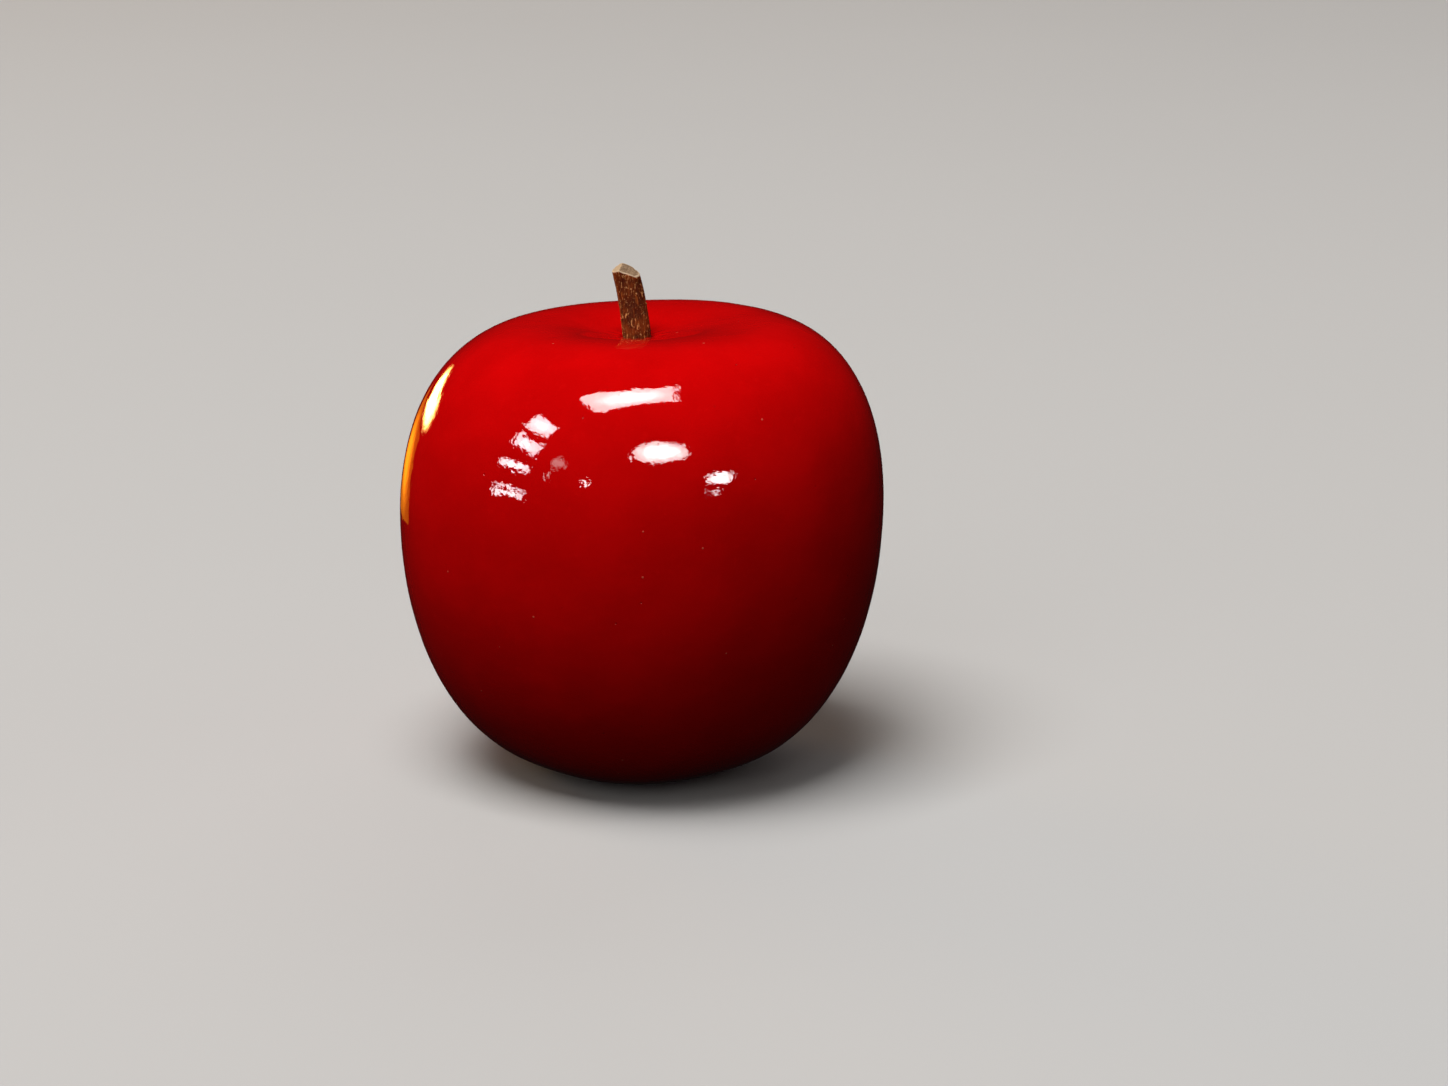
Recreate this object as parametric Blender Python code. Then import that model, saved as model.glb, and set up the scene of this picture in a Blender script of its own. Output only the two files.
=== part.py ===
"""A whole apple that stands on its base.

Its pieces are the fruit, with a shallow cavity on top and a deeper hollow, the eye, underneath; the woody
stem, which comes out of a socket in the cavity; and the dried flower in the eye: five sepals around a tuft
of stamens. Sizes are in metres and +Z is up. The origin is on the ground, in the middle of the eye.
"""

import math

import bmesh
import bpy
from mathutils import Vector

# Fruit, outside
GIRTH_RADIUS = 0.041
GIRTH_HEIGHT = 0.045
SHOULDER_RADIUS = 0.019  # the ring along the crest of the shoulders
SHOULDER_HEIGHT = 0.0765
FOOT_LAND = 0.003  # width of the flat ring that the apple stands on
SHOULDER_ROUNDNESS = (0.63, 0.59)  # reach of the outline's curve, across the top and down to the girth
BASE_ROUNDNESS = (0.545, 0.615)  # the same, across the bottom and up to the girth

# Fruit, how it differs from a turned shape
LOBES = 5
LOBE_ANGLE = math.radians(-90)  # where the first lobe stands
LOBE_DEPTH_AT_FOOT = 0.02  # as a share of the radius there
LOBE_DEPTH_AT_GIRTH = 0.005
LOBE_FADE_HEIGHT = 0.009
LEAN = 0.0011  # how far the shoulders stand to +X of the foot
CROWN_SLOPE = 0.0163  # the shoulders rise towards +X

# Stem cavity and socket
CAVITY_DEPTH = 0.0022
CAVITY_FLARE = (0.5, 0.35)  # how far the cavity stays wide before it drops to the stem, from each end
STEM_OFFSET = -0.0004  # the stem stands to -X of the middle
SOCKET_DEPTH = 0.008
SOCKET_CLEARANCE = 0.0004
SOCKET_LIP = 0.0007  # rounding where the skin turns down to the stem

# Stem
STEM_RADIUS = 0.00235  # where it leaves the fruit
STEM_ROOT_RADIUS = 0.0019
STEM_WAIST_RADIUS = 0.00228
STEM_TIP_RADIUS = 0.0022
STEM_FLATNESS = 0.9  # front-to-back width as a share of the side-to-side width
STEM_REACH = 0.0112  # from the cavity's floor to the middle of the cut end
STEM_BEND = Vector((-0.00185, 0.0005, 0))  # how far the tip stands aside
STEM_BEND_POWER = 1.4  # 1 leans straight, and more keeps the lower part upright
STEM_CUT_NORMAL = Vector((0.36, -0.23, 1)).normalized()
STEM_CHIP_NORMAL = Vector((-0.48, -0.12, 1)).normalized()
STEM_RIDGE_OFFSET = -0.0008  # the ridge between the cut and the chip stands to -X of the cut's middle

# Eye, the hollow underneath
BASIN_RADIUS = 0.0085
BASIN_DEPTH = 0.0065

# Dried flower in the eye
SEPALS = 5
SEPAL_RING_RADIUS = 0.0029
SEPAL_WIDTH = 0.0024
SEPAL_THICKNESS = 0.0004
SEPAL_DROP = 0.0047
SEPAL_SPREAD = 0.0022  # how far a tip stands outside its root
SEPAL_CUPPING = 0.25
SEPAL_WAIST = (0.5, 0.9)  # where a sepal draws in and where it turns out again, as shares of its drop
SEPAL_TIP_WIDTH = 0.2  # as a share of its width at the root
SEPAL_TAPER_POWER = 1.6  # 1 tapers evenly, and more keeps the upper part wide
TUFT_RADIUS = 0.0014
TUFT_LENGTH = 0.003
TUFT_FLUTES = 10
TUFT_FLUTE_DEPTH = 0.18
TUFT_END_WIDTH = 0.8  # as a share of its width in the middle

# Fits
PIECE_GAP = 0.0003  # between a piece and what it grows from
RIM_MARGIN = 0.0008  # flat floor left around the sepals

# Fineness
COLUMNS_AROUND = 60
BODY_ROWS = 12
HOLLOW_ROWS = 6
STEM_COLUMNS = 20
STEM_ROWS = 12
SOCKET_ROWS = 2
SEPAL_COLUMNS = 8
SEPAL_ROWS = 7
TUFT_COLUMNS = 4 * TUFT_FLUTES
TUFT_ROWS = 4
SLOPE_STEP = 0.01  # share of a curve between the points that give its direction
POLE_MERGE = 1e-7
SHARP_ANGLE = math.radians(40)


def blend(low, high, share):
    return low + (high - low) * share


def smooth_step(share):
    share = min(1.0, max(0.0, share))
    return share * share * (3 - 2 * share)


def bezier(points, share):
    """The point of a cubic Bezier curve at a share from 0 to 1 of its way."""
    start, start_handle, end_handle, end = points
    rest = 1 - share
    return (
        start * rest**3
        + start_handle * 3 * rest**2 * share
        + end_handle * 3 * rest * share**2
        + end * share**3
    )


def curve_points(points, rows):
    """Points along a Bezier curve, without its first one."""
    return [bezier(points, row / rows) for row in range(1, rows + 1)]


def elbow(start, end, across, along):
    """A curve that leaves start level and arrives at end upright, as Vectors of radius and height."""
    start_handle = Vector((blend(start.x, end.x, across), start.y))
    end_handle = Vector((end.x, blend(end.y, start.y, along)))
    return [start, start_handle, end_handle, end]


def s_curve(start, end):
    """A curve that leaves start level and arrives at end level."""
    middle = (start.x + end.x) / 2
    return [start, Vector((middle, start.y)), Vector((middle, end.y)), end]


def trumpet(rim, throat, rim_reach, throat_reach):
    """A curve that leaves the rim level and arrives at the throat still going down."""
    rim_handle = Vector((blend(rim.x, throat.x, rim_reach), rim.y))
    throat_handle = rim.lerp(throat, 1 - throat_reach)
    return [rim, rim_handle, throat_handle, throat]


# Places that several pieces share
FOOT_RADIUS = BASIN_RADIUS + FOOT_LAND
CAVITY_FLOOR_HEIGHT = SHOULDER_HEIGHT - CAVITY_DEPTH
SOCKET_RADIUS = STEM_RADIUS + SOCKET_CLEARANCE
SOCKET_FLOOR_HEIGHT = CAVITY_FLOOR_HEIGHT - SOCKET_DEPTH
BASIN_FLOOR_RADIUS = SEPAL_RING_RADIUS + SEPAL_THICKNESS + RIM_MARGIN
FLOWER_ROOT_HEIGHT = BASIN_DEPTH - PIECE_GAP


def fruit_profile():
    """Half the fruit's section, from the eye's floor round the outside to the floor of the stem's socket."""
    basin_floor = Vector((BASIN_FLOOR_RADIUS, BASIN_DEPTH))
    basin_rim = Vector((BASIN_RADIUS, 0))
    foot = Vector((FOOT_RADIUS, 0))
    girth = Vector((GIRTH_RADIUS, GIRTH_HEIGHT))
    crest = Vector((SHOULDER_RADIUS, SHOULDER_HEIGHT))
    socket_mouth = Vector((SOCKET_RADIUS + SOCKET_LIP, CAVITY_FLOOR_HEIGHT))

    points = [Vector((0, BASIN_DEPTH)), basin_floor]
    points += curve_points(s_curve(basin_floor, basin_rim), HOLLOW_ROWS)
    points += [foot]
    points += curve_points(elbow(foot, girth, *BASE_ROUNDNESS), BODY_ROWS)
    points += curve_points(elbow(crest, girth, *SHOULDER_ROUNDNESS)[::-1], BODY_ROWS)
    points += curve_points(trumpet(crest, socket_mouth, *CAVITY_FLARE), HOLLOW_ROWS)
    points += [
        Vector((SOCKET_RADIUS, CAVITY_FLOOR_HEIGHT - SOCKET_LIP)),
        Vector((SOCKET_RADIUS, SOCKET_FLOOR_HEIGHT)),
        Vector((0, SOCKET_FLOOR_HEIGHT)),
    ]
    return points


def grown(point):
    """Moves a point of the turned fruit to where it grew: five lobes, a lean and a sloping crown."""
    radius = math.hypot(point.x, point.y)
    angle = math.atan2(point.y, point.x)
    upper = point.z > GIRTH_HEIGHT
    rise = (point.z / SHOULDER_HEIGHT) ** 2
    outwards = smooth_step(radius / (SHOULDER_RADIUS if upper else BASIN_RADIUS))

    fade = math.exp(-point.z / LOBE_FADE_HEIGHT)
    depth = outwards * blend(LOBE_DEPTH_AT_GIRTH, LOBE_DEPTH_AT_FOOT, fade)
    swell = 1 + depth * math.cos(LOBES * (angle - LOBE_ANGLE))
    aside = blend(STEM_OFFSET, LEAN * rise, outwards) if upper else LEAN * rise
    x = point.x * swell + aside
    return Vector((x, point.y * swell, point.z + CROWN_SLOPE * x * rise))


def turned(bm, profile, columns):
    """Spins a profile of radii and heights once round +Z."""
    verts = [bm.verts.new((point.x, 0, point.y)) for point in profile]
    edges = [bm.edges.new(pair) for pair in zip(verts, verts[1:])]
    bmesh.ops.spin(
        bm,
        geom=verts + edges,
        axis=(0, 0, 1),
        angle=math.tau,
        steps=columns,
        use_merge=True,
    )
    bmesh.ops.remove_doubles(bm, verts=bm.verts, dist=POLE_MERGE)


def lofted(bm, rings):
    """Skins a run of rings, lists of as many points each, and closes both ends."""
    loops = [[bm.verts.new(point) for point in ring] for ring in rings]
    for low, high in zip(loops, loops[1:]):
        for index in range(len(low)):
            following = (index + 1) % len(low)
            bm.faces.new((low[index], low[following], high[following], high[index]))
    bm.faces.new(loops[0][::-1])
    bm.faces.new(loops[-1])


def cut_off(bm, place, normal):
    """Cuts away what lies beyond a plane and closes the cut."""
    everything = bm.verts[:] + bm.edges[:] + bm.faces[:]
    cut = bmesh.ops.bisect_plane(
        bm, geom=everything, plane_co=place, plane_no=normal, clear_outer=True
    )
    rim = [item for item in cut["geom_cut"] if isinstance(item, bmesh.types.BMEdge)]
    bmesh.ops.contextual_create(bm, geom=rim)


def mesh_from(bm, name):
    bmesh.ops.recalc_face_normals(bm, faces=bm.faces)
    mesh = bpy.data.meshes.new(name)
    bm.to_mesh(mesh)
    bm.free()
    mesh.shade_smooth()
    mesh.set_sharp_from_angle(angle=SHARP_ANGLE)
    return mesh


def material(name, color, roughness):
    made = bpy.data.materials.new(name)
    made.use_nodes = True
    shader = made.node_tree.nodes["Principled BSDF"]
    shader.inputs["Base Color"].default_value = (*color, 1)
    shader.inputs["Roughness"].default_value = roughness
    shader.inputs["Metallic"].default_value = 0
    made.diffuse_color = (*color, 1)
    return made


def place(name, mesh, parent, location=(0, 0, 0), turn=0.0):
    piece = bpy.data.objects.new(name, mesh)
    piece.parent = parent
    piece.location = location
    piece.rotation_euler.z = turn
    bpy.context.collection.objects.link(piece)
    return piece


def fruit_mesh():
    bm = bmesh.new()
    turned(bm, fruit_profile(), COLUMNS_AROUND)
    for vert in bm.verts:
        vert.co = grown(vert.co)
    return mesh_from(bm, "fruit")


def stem_radius(height):
    """The stem's radius at a height over the cavity's floor, which is negative in the socket."""
    waist_height = STEM_REACH / 2
    if height < 0:
        return blend(STEM_RADIUS, STEM_ROOT_RADIUS, -height / SOCKET_DEPTH)
    if height < waist_height:
        return blend(STEM_RADIUS, STEM_WAIST_RADIUS, smooth_step(height / waist_height))
    share = (height - waist_height) / waist_height
    return blend(STEM_WAIST_RADIUS, STEM_TIP_RADIUS, smooth_step(share))


def stem_mesh():
    """The stem from its origin on the cavity's floor: straight in the socket, bending aside above it."""
    root = -SOCKET_DEPTH + PIECE_GAP
    tip = Vector((0, 0, STEM_REACH)) + STEM_BEND
    spare = STEM_TIP_RADIUS  # length beyond the cut, which slants
    rings = []
    for row in range(-SOCKET_ROWS, STEM_ROWS + 1):
        height = root * -row / SOCKET_ROWS if row < 0 else (STEM_REACH + spare) * row / STEM_ROWS
        share = max(0.0, height / STEM_REACH)
        middle = STEM_BEND * share**STEM_BEND_POWER + Vector((0, 0, height))
        slope = STEM_BEND_POWER * share ** (STEM_BEND_POWER - 1) / STEM_REACH
        lean = STEM_BEND * slope + Vector((0, 0, 1))
        across = Vector((0, 1, 0)).cross(lean).normalized()
        back = lean.cross(across).normalized()
        radius = stem_radius(height)
        ring = []
        for column in range(STEM_COLUMNS):
            angle = math.tau * column / STEM_COLUMNS
            aside = across * radius * math.cos(angle)
            deep = back * radius * STEM_FLATNESS * math.sin(angle)
            ring.append(middle + aside + deep)
        rings.append(ring)

    bm = bmesh.new()
    lofted(bm, rings)
    cut_off(bm, tip, STEM_CUT_NORMAL)
    ridge_rise = -STEM_RIDGE_OFFSET * STEM_CUT_NORMAL.x / STEM_CUT_NORMAL.z
    ridge = tip + Vector((STEM_RIDGE_OFFSET, 0, ridge_rise))
    cut_off(bm, ridge, STEM_CHIP_NORMAL)
    return mesh_from(bm, "stem")


def sepal_mesh():
    """One sepal that grows down from the eye's floor at +X, draws in a little and spreads at its tip."""
    root = Vector((SEPAL_RING_RADIUS, 0, 0))
    tip = root + Vector((SEPAL_SPREAD, 0, -SEPAL_DROP))
    down = Vector((0, 0, -SEPAL_DROP))
    inwards = Vector((-SEPAL_THICKNESS, 0, 0))
    waist = [root + down * share + inwards for share in SEPAL_WAIST]
    spine = [root, *waist, tip]
    rings = []
    for row in range(SEPAL_ROWS + 1):
        share = row / SEPAL_ROWS
        middle = bezier(spine, share)
        ahead = (bezier(spine, share + SLOPE_STEP) - bezier(spine, share - SLOPE_STEP)).normalized()
        outwards = ahead.cross(Vector((0, 1, 0))).normalized()
        taper = blend(1, SEPAL_TIP_WIDTH, share**SEPAL_TAPER_POWER)
        ring = []
        for column in range(SEPAL_COLUMNS):
            angle = math.tau * column / SEPAL_COLUMNS
            half_width = SEPAL_WIDTH / 2 * taper * math.cos(angle)
            cup = -SEPAL_CUPPING * abs(half_width)
            half_thickness = SEPAL_THICKNESS / 2 * math.sin(angle)
            ring.append(middle + Vector((0, half_width, 0)) + outwards * (half_thickness + cup))
        rings.append(ring)
    bm = bmesh.new()
    lofted(bm, rings)
    return mesh_from(bm, "sepal")


def tuft_mesh():
    """The stamens, dried together into a fluted plug that hangs from the eye's floor."""
    rings = []
    for row in range(TUFT_ROWS + 1):
        share = row / TUFT_ROWS
        radius = TUFT_RADIUS * blend(TUFT_END_WIDTH, 1, math.sin(math.pi * share))
        ring = []
        for column in range(TUFT_COLUMNS):
            angle = math.tau * column / TUFT_COLUMNS
            flute = 1 + TUFT_FLUTE_DEPTH * math.cos(TUFT_FLUTES * angle)
            across = radius * flute
            ring.append(Vector((across * math.cos(angle), across * math.sin(angle), -TUFT_LENGTH * share)))
        rings.append(ring)
    bm = bmesh.new()
    lofted(bm, rings)
    return mesh_from(bm, "stamen_tuft")


def build_apple():
    for thing in list(bpy.data.objects):
        bpy.data.objects.remove(thing)

    apple = bpy.data.objects.new("apple", None)
    bpy.context.collection.objects.link(apple)

    fruit = place("fruit", fruit_mesh(), apple)
    fruit.data.materials.append(material("apple_skin", (0.55, 0.003, 0.004), 0.08))

    stem_foot = grown(Vector((0, 0, CAVITY_FLOOR_HEIGHT)))
    stem = place("stem", stem_mesh(), apple, location=stem_foot)
    stem.data.materials.append(material("stem_bark", (0.13, 0.055, 0.025), 0.65))

    flower_root = Vector((0, 0, FLOWER_ROOT_HEIGHT))
    blade = sepal_mesh()
    blade.materials.append(material("dried_sepal", (0.12, 0.08, 0.045), 0.8))
    for number in range(SEPALS):
        turn = LOBE_ANGLE + math.tau * number / SEPALS
        place(f"sepal_{number + 1}", blade, apple, location=flower_root, turn=turn)

    tuft = place("stamen_tuft", tuft_mesh(), apple, location=flower_root)
    tuft.data.materials.append(material("dried_stamens", (0.07, 0.045, 0.025), 0.85))


build_apple()
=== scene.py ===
"""The looks of a waxed red apple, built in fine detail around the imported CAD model.

The fine pieces repeat the CAD model's outline formulas and then add what the plain solids leave out: the
skin's undulation, dots and gloss; the creases of the cavity and the eye; the stem's bark, fibres and broken
end; and the curled sepals and dried stamens. Sizes are in metres and +Z is up.
"""

import math
import random

import bmesh
import bpy
import numpy as np
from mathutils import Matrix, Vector, noise


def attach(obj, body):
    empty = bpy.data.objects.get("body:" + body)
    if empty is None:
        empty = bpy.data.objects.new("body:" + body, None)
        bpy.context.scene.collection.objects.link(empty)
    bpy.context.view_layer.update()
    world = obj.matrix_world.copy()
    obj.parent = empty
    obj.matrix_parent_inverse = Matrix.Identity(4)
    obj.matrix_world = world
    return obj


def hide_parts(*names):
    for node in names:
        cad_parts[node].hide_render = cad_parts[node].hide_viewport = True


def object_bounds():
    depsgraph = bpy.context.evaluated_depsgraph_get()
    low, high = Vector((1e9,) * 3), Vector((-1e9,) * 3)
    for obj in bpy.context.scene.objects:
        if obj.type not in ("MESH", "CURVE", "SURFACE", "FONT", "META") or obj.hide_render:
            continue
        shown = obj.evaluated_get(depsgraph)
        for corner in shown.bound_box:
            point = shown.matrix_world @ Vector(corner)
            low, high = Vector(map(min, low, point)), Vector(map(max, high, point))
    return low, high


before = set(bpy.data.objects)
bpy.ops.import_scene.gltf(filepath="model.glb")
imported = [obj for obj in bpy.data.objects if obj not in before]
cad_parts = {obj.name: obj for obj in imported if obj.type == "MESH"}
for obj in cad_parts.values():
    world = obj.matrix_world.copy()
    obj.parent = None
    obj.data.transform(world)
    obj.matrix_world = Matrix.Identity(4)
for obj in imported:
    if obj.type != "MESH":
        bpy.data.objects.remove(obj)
cad_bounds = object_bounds()

# The fruit's outline, with the CAD model's values
GIRTH_RADIUS = 0.041
GIRTH_HEIGHT = 0.045
SHOULDER_RADIUS = 0.019
SHOULDER_HEIGHT = 0.0765
FOOT_LAND = 0.003
SHOULDER_ROUNDNESS = (0.63, 0.59)
BASE_ROUNDNESS = (0.545, 0.615)
CAVITY_DEPTH = 0.0022
CAVITY_FLARE = (0.5, 0.35)
SOCKET_DEPTH = 0.008
SOCKET_LIP = 0.0007
BASIN_RADIUS = 0.0085
BASIN_DEPTH = 0.0065

# How the fruit differs from a turned shape, with the CAD model's values
LOBES = 5
LOBE_ANGLE = math.radians(-90)
LOBE_DEPTH_AT_FOOT = 0.02
LOBE_DEPTH_AT_GIRTH = 0.005
LOBE_FADE_HEIGHT = 0.009
LEAN = 0.0011
CROWN_SLOPE = 0.0163
STEM_OFFSET = -0.0004

# The stem, with the CAD model's values
STEM_RADIUS = 0.00235
STEM_ROOT_RADIUS = 0.0019
STEM_WAIST_RADIUS = 0.00228
STEM_TIP_RADIUS = 0.0022
STEM_FLATNESS = 0.9
STEM_REACH = 0.0112
STEM_BEND = np.array((-0.00185, 0.0005, 0))
STEM_BEND_POWER = 1.4
STEM_CUT_NORMAL = np.array((0.36, -0.23, 1))
STEM_CHIP_NORMAL = np.array((-0.48, -0.12, 1))
STEM_RIDGE_OFFSET = -0.0008

# The dried flower, with the CAD model's values
SEPAL_RING_RADIUS = 0.0029
SEPAL_WIDTH = 0.0024
SEPAL_THICKNESS = 0.0004
SEPAL_DROP = 0.0047
SEPAL_SPREAD = 0.0022
SEPAL_CUPPING = 0.25
TUFT_RADIUS = 0.0014
TUFT_LENGTH = 0.003
RIM_MARGIN = 0.0008
PIECE_GAP = 0.0003

# Fine relief of the skin
SKIN_CLEARANCE = 0.00004  # what is left open between the skin's lip and the stem
SWELL_SIZE = 0.017
SWELL_DEPTH = 0.00009
RIPPLE_SIZE = 0.0042
RIPPLE_DEPTH = 0.000022
RIB_DEPTH = 0.00012  # flattened stretches that run from the shoulders to the base
RIB_COUNT = 1.7
RIB_CHANGE = 0.3  # how much a rib changes on its way up
WANDER_SIZE = 0.35  # of the noise that bends the creases and pleats
CREASES = 13
CREASE_DEPTH = 0.00006
CREASE_REACH = 0.0045  # from the stem outwards
CREASE_WANDER = 2.5
PLEATS = 15
PLEAT_DEPTH = 0.00016
PLEAT_WANDER = 3
FLAT_FOOT_HEIGHT = 0.0015  # the relief dies out below this

# Fine relief of the stem
FIBRE_DEPTH = 0.00007
FIBRE_WIDTH = 0.0005
FIBRE_LENGTH = 0.0045
FINE_FIBRE_DEPTH = 0.4  # the finer fibres, as a share of the coarser ones' depth
FINE_FIBRE_NARROWING = 2.3
FINE_FIBRE_SHORTENING = 1.7
KNOT_DEPTH = 0.00007
KNOT_SIZE = 0.0011
KNOT_RARITY = 0.35  # only noise above this makes a knot
KNOT_EDGE = 0.3
BARK_ROOT = 0.6  # the relief starts this share of the stem's radius below the cavity's floor
BEND_DEPTH = 0.00007
BEND_SIZE = 0.004
TORN_EDGE = 0.00016
TORN_EDGE_SIZE = 0.3  # as a share of the stem's radius
BARK_THICKNESS = 0.1  # as a share of the stem's radius
BARK_LIP = 0.00012
PITH_RADIUS = 0.16  # as a share of the stem's radius
PITH_DEPTH = 0.0001
CUT_GRAIN_SIZE = 0.00022
CUT_GRAIN_DEPTH = 0.00003

# Dried flower. Pairs are the least and the most, unless the comment beside them says otherwise
SEPAL_VARIATION = 0.14
SEPAL_TIP_SWAY = 0.3  # as a share of its width
SEPAL_BENDS = (0.5, 0.9)  # where it draws in and where it turns out again, as shares of its drop
SEPAL_TAPER = (2.4, 0.7)  # powers: how late the width starts to fall, and how bluntly it ends
SEPAL_END_WIDTH = 0.00002
SEPAL_END_THICKNESS = 0.35  # as a share of the thickness at the root
SEPAL_EDGE_THINNING = 0.6
SEPAL_VEINS = 9
SEPAL_VEIN_DEPTH = 0.3  # as a share of the thickness
SEPAL_CURL = (0.4, 1.1)  # how far the blade cups at its tip, on top of its cupping at the root
SEPAL_CURL_POWER = 1.6
SEPAL_CRIMP_DEPTH = 0.00016
SEPAL_CRIMPS = (8, 13)
STAMENS = 20
STAMEN_SPACING_VARIATION = 0.3
STAMEN_LENGTH = (0.7, 0.97)  # as shares of the tuft's length
STAMEN_ROOT = (0.6, 0.8)  # this and the next two are as shares of the tuft's radius
STAMEN_BELLY = (0.6, 0.95)
STAMEN_END = (0.35, 0.85)
STAMEN_TWIST = (0.4, 0.7)  # the most that its middle and its end swing aside
FILAMENT_RADIUS = 0.00007
FILAMENT_ROOT_SWELL = 1.3
ANTHER_RADIUS = 0.00022
ANTHER_PLACE = (0.9, 0.08)  # its middle and its half length, as shares of the strand
STYLES = 5
STYLE_RADIUS = 0.00012
STYLE_LENGTH = (0.8, 0.98)  # as shares of the tuft's length
STYLE_SPREAD = (0.25, 0.4)  # as shares of the tuft's radius
STYLE_BEND = 0.6  # how far down it starts to lean, as a share of its length
STIGMA_PLACE = (1, 0.12)  # as the anther's
STIGMA_SWELL = 0.8
FLOWER_SINK = 0.0004  # how far the flower's parts root above the CAD model's root height

# Fineness
FRUIT_COLUMNS = 360
BODY_ROWS = 76
HOLLOW_ROWS = 40
EDGE_ROWS = 8
STEM_COLUMNS = 144
STEM_ROWS = 200
STEM_END_RINGS = 26
CUT_SEARCH_STEPS = 24
SEPAL_COLUMNS = 28
SEPAL_ROWS = 36
STRAND_SIDES = 10
STRAND_ROWS = 18
STRAND_SIDE = (0.3, 1, 0)  # no strand runs along this, so each one's section can be measured from it
RANDOM_SEED = 11

# Colours, as linear red, green and blue
SKIN_DEEP = (0.48, 0.0006, 0.0009)
SKIN_BRIGHT = (0.54, 0.0008, 0.0012)
SKIN_FRECKLE = (0.62, 0.003, 0.003)
SKIN_LENTICEL = (0.75, 0.16, 0.1)
# painted shade: the darker red put into the skin's pits stands in for the shade in them
SKIN_PIT_SHADE = (0.2, 0.001, 0.001)
BARK_DARK = (0.07, 0.0115, 0.0012)
BARK_LIGHT = (0.17, 0.034, 0.0035)
BARK_FIBRE = (0.34, 0.085, 0.01)
# painted shade: the darker brown put into the bark's crevices, where its relief is lowest
BARK_CREVICE_SHADE = (0.03, 0.006, 0.001)
BARK_SCRATCH = (0.6, 0.32, 0.11)
BARK_FLECK = (0.72, 0.38, 0.12)
BARK_WART = (0.76, 0.45, 0.17)
WOOD_PORE = (0.09, 0.045, 0.022)
WOOD_LIGHT = (0.34, 0.22, 0.13)
WOOD_RING = (0.36, 0.25, 0.16)
WOOD_PITH = (0.14, 0.08, 0.045)
WOOD_CHIP = (0.5, 0.35, 0.21)
WOOD_RIM = (0.52, 0.38, 0.25)
SEPAL_DARK = (0.05, 0.021, 0.007)
SEPAL_LIGHT = (0.25, 0.14, 0.06)
STAMEN_DARK = (0.022, 0.01, 0.005)
STAMEN_LIGHT = (0.16, 0.085, 0.035)

# Grain of the materials: sizes and radii of the marks, and how many places for a dot hold one
DOT_CORE = 0.55  # the even middle of a dot, as a share of its radius
CLOUD_SIZE = 0.012
FRECKLE_SIZE = 0.0011
LENTICEL_SPACING = 0.0046
LENTICEL_RADIUS = 0.00022
LENTICELS_KEPT = 0.5
PIT_SPACING = 0.0031
PIT_RADIUS = 0.0002
PITS_KEPT = 0.4
COARSE_PEEL_SIZE = 0.0035
PEEL_SIZE = 0.0009
BARK_FIBRE_SIZE = 0.0004
BARK_FIBRE_STRETCH = (1, 1, 9)
BARK_STREAK_SIZE = 0.0002
BARK_STREAK_STRETCH = (1, 1, 5)
BARK_PATCH_SIZE = 0.0024
BARK_FLECK_SIZE = 0.00034
BARK_FLECK_STRETCH = (1, 1, 3)
BARK_FLECK_SLANT = math.radians(24)
BARK_WART_SIZE = 0.0005
BARK_SWIRL_SIZE = 0.0006
BARK_SWIRL_STRETCH = (1, 1, 2)
WOOD_PORE_SIZE = 0.0003
WOOD_RING_RATE = 42.0
SEPAL_STREAK_SIZE = 0.0004
STAMEN_STREAK_SIZE = 0.0003
DRIED_STREAK_STRETCH = (1, 1, 6)
DRIED_STREAK_DEPTH = 0.3  # this and the next are as shares of a streak's size
DRIED_PATCH_SIZE = 5
FLOOR_CLOUD_SIZE = 0.4

# Depths of the materials' finest relief
COARSE_PEEL_DEPTH = 0.00004
PEEL_DEPTH = 0.000017
LENTICEL_DEPTH = 0.00002
PIT_DEPTH = -0.00006
BARK_FIBRE_DEPTH = 0.00012
BARK_STREAK_DEPTH = 0.00005
WOOD_PORE_DEPTH = 0.00004
BARK_FLECK_DEPTH = 0.00003

# Places of the sockets on a Mix node of colours, which has several sockets of each name
MIX_SHARE = 0
MIX_LOW = 6
MIX_HIGH = 7
MIX_RESULT = 2

# Gloss
WAX_ROUGHNESS = 0.012
WAX_IOR = 1.46
BARK_SPECULAR = 0.05
DRIED_SPECULAR = 0.15
FLOOR_ROUGHNESS = 0.75

# Camera
LENS_MM = 80
CAMERA_PITCH = math.radians(15)
CAMERA_DISTANCE = 0.5503
APPLE_LEFT_OF_FRAME = 0.0139
APPLE_ABOVE_FRAME = 0.0049

# Studio
FLOOR_HALF_WIDTH = 8.0
FLOOR_DROP = 0.0001
FLOOR_SHADE = (0.44, 0.436, 0.43)
FLOOR_VARIATION = 0.97  # the shade of its darker clouds, as a share of the lighter
WORLD_SHADE = (0.004, 0.004, 0.004)
BACKDROP_SHADE = (0.5, 0.496, 0.49)
LIT_HEIGHT = 0.045  # the lights face the apple's middle at this height
HIGHLIGHT_DISTANCE = 1.4
WIDE_LIGHT_DISTANCE = 4.0
WARM_PANEL_DISTANCE = 0.2
LIGHT_WHITE = (1.0, 0.985, 0.97)
LIGHT_COOL = (0.95, 0.97, 1.0)
LIGHT_WARM = (1.0, 0.5, 0.12)
LIGHT_EMBER = (1.0, 0.3, 0.01)
BRIGHT_CORE = 0.12  # the evenly bright middle of a highlight, as a share of its width

# Window panes mirrored in the skin, from the top: azimuth, elevation, width, height and roll, in degrees
WINDOW_PANES = (
    (-65, 39, 14, 9.5, -10),
    (-66, 27.5, 14.5, 6, -8),
    (-67.5, 16, 15.5, 3, 4),
    (-66.5, 8, 16.5, 1, 0),
    (-67, 5.5, 15, 2, 0),
)


def blend(low, high, share):
    return low + (high - low) * share


def smooth_step(share):
    share = np.clip(share, 0, 1)
    return share * share * (3 - 2 * share)


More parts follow.
